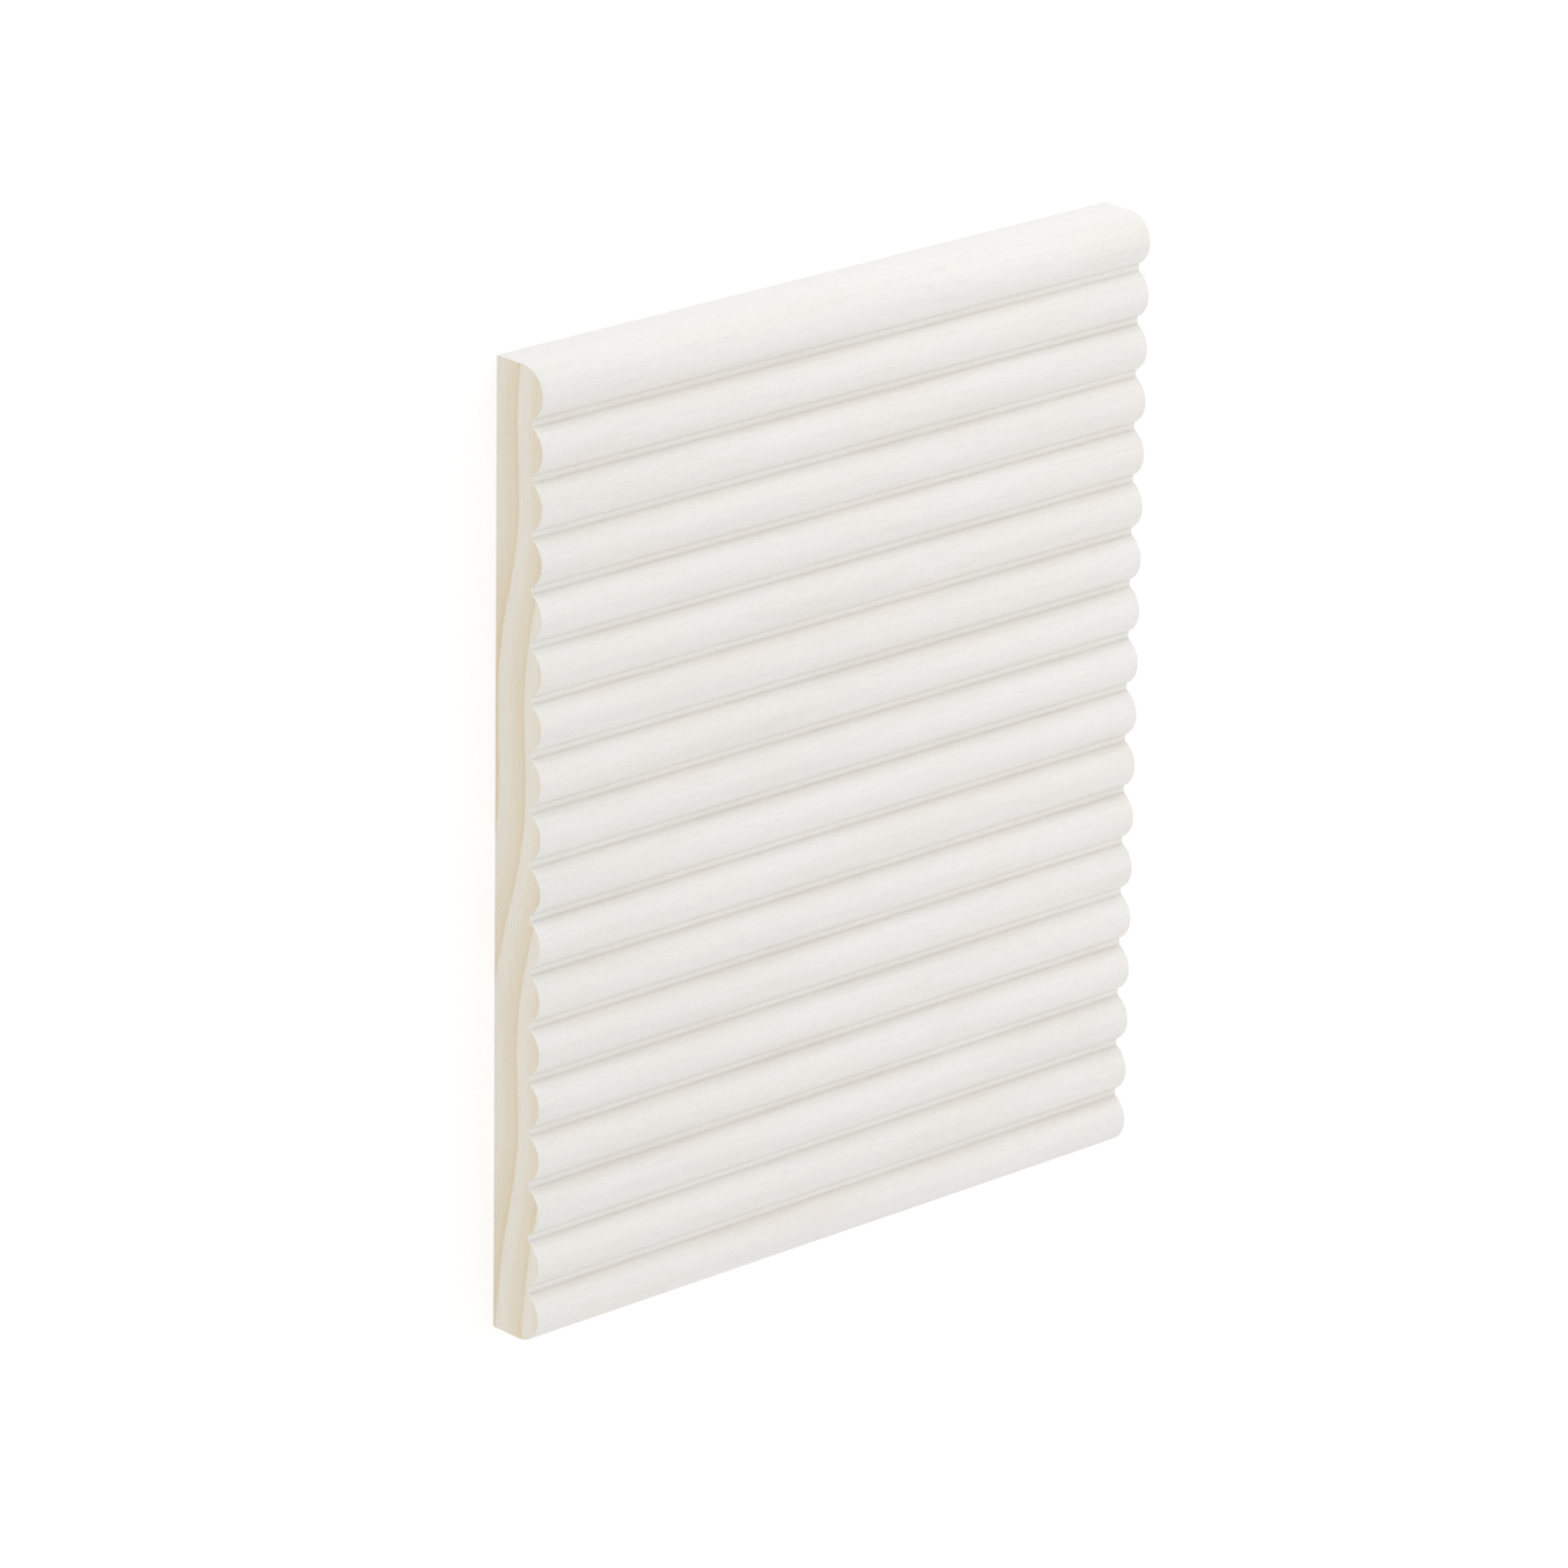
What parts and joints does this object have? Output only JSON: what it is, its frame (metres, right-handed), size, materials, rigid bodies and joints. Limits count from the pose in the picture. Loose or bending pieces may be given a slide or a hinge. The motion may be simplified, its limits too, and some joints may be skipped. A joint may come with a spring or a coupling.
{
  "type": "reeded wall batten",
  "caption": "Milled wooden wall batten with rounded reeds along its face, flat lands between them, quarter-round shoulders, straight long edges, a flat back and sawn ends.",
  "frame": {"origin": "centre of the flat back face, on the surface that the batten lies on", "axes": "+X along the reeds, +Y across the reeds towards the long edge that is uppermost in the picture, +Z out of the reeded face"},
  "size_m": [0.144, 0.18, 0.012],
  "materials": {
    "white_glazed_wood": "thin white glaze, low sheen, on the face and long edges; bare on the sawn ends and the back"
  },
  "bodies": {
    "root": {"batten": "white_glazed_wood"}
  },
  "joints": []
}
